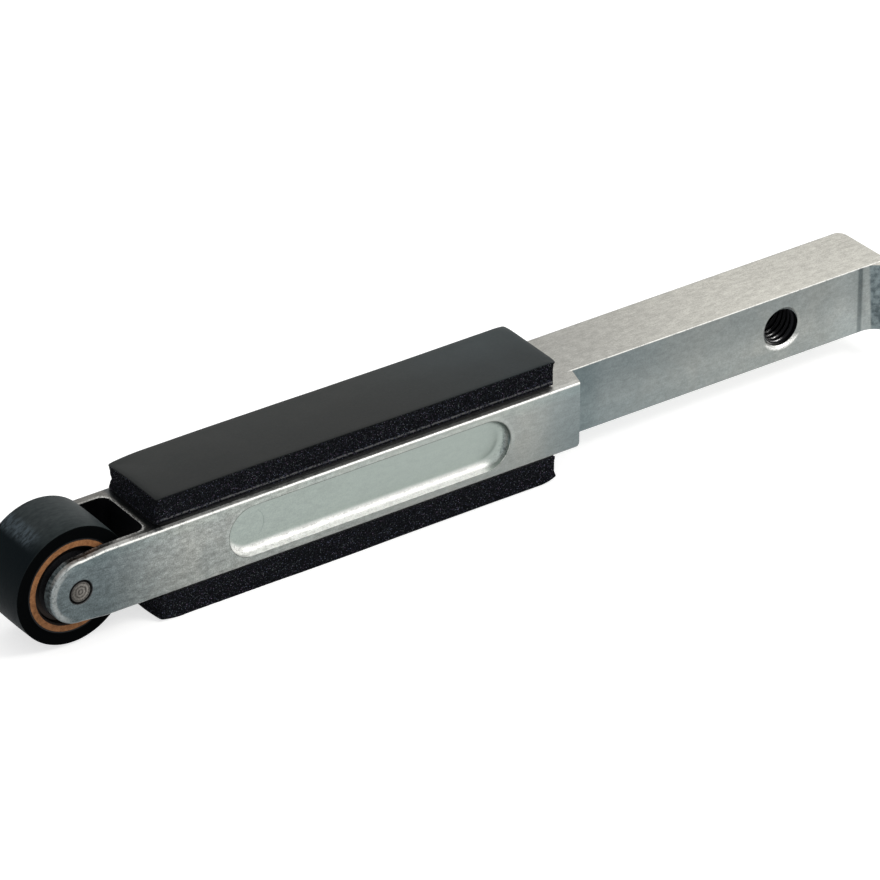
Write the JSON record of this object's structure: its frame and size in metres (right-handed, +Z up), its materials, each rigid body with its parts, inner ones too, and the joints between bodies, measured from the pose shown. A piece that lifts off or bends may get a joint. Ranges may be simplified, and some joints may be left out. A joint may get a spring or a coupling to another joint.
{
  "type": "power file belt arm",
  "caption": "Forked steel belt arm of a power file, with a ball-bearing rubber contact wheel at its nose, a sponge backing pad above and below, and a shank with a cross-threaded clamping hole.",
  "frame": {"origin": "on the axis of the cross-threaded clamping hole, in the middle of the arm's width and height", "axes": "+X along the arm towards its foot, with the contact wheel at -X; +Y across the arm to its flush back; +Z up through the upper pad"},
  "size_m": [0.203, 0.0186, 0.0262],
  "materials": {
    "plated_steel": "dull zinc plate over machined steel",
    "pin_steel": "turned",
    "tyre_rubber": "ground rubber",
    "hub_laminate": "turned laminate",
    "bearing_steel": "ground",
    "ball_steel": "polished",
    "cage_plastic": "moulded",
    "seal_rubber": "moulded",
    "adhesive_tape": "matte",
    "sponge": "open-cell sponge rubber",
    "pad_facing": "smooth coated cloth"
  },
  "bodies": {
    "arm": {"arm": "plated_steel", "wheel_pin": "pin_steel", "front_inner_ring": "bearing_steel", "rear_inner_ring": "bearing_steel", "bearing_spacer": "pin_steel", "front_side_washer": "pin_steel", "rear_side_washer": "pin_steel", "upper_adhesive": "adhesive_tape", "upper_sponge": "sponge", "upper_facing": "pad_facing", "lower_adhesive": "adhesive_tape", "lower_sponge": "sponge", "lower_facing": "pad_facing"},
    "wheel": {"tyre": "tyre_rubber", "hub_ring": "hub_laminate", "front_outer_ring": "bearing_steel", "rear_outer_ring": "bearing_steel", "front_face_seal": "seal_rubber", "front_inner_seal": "seal_rubber", "rear_face_seal": "seal_rubber", "rear_inner_seal": "seal_rubber"},
    "front_ball_set": {"front_balls": "ball_steel", "front_cage": "cage_plastic"},
    "rear_ball_set": {"rear_balls": "ball_steel", "rear_cage": "cage_plastic"}
  },
  "joints": [
    {"name": "wheel_spin", "type": "hinge", "parent": "arm", "child": "wheel", "pos_m": [-0.165, 0, 0], "axis": [0, 1, 0], "continuous": true},
    {"name": "front_cage_spin", "type": "hinge", "parent": "arm", "child": "front_ball_set", "pos_m": [-0.165, 0, 0], "axis": [0, 1, 0], "continuous": true},
    {"name": "rear_cage_spin", "type": "hinge", "parent": "arm", "child": "rear_ball_set", "pos_m": [-0.165, 0, 0], "axis": [0, 1, 0], "continuous": true}
  ],
  "couplings": [
    {"joint": "front_cage_spin", "follows": "wheel_spin", "ratio": 0.6512},
    {"joint": "rear_cage_spin", "follows": "wheel_spin", "ratio": 0.6512}
  ]
}
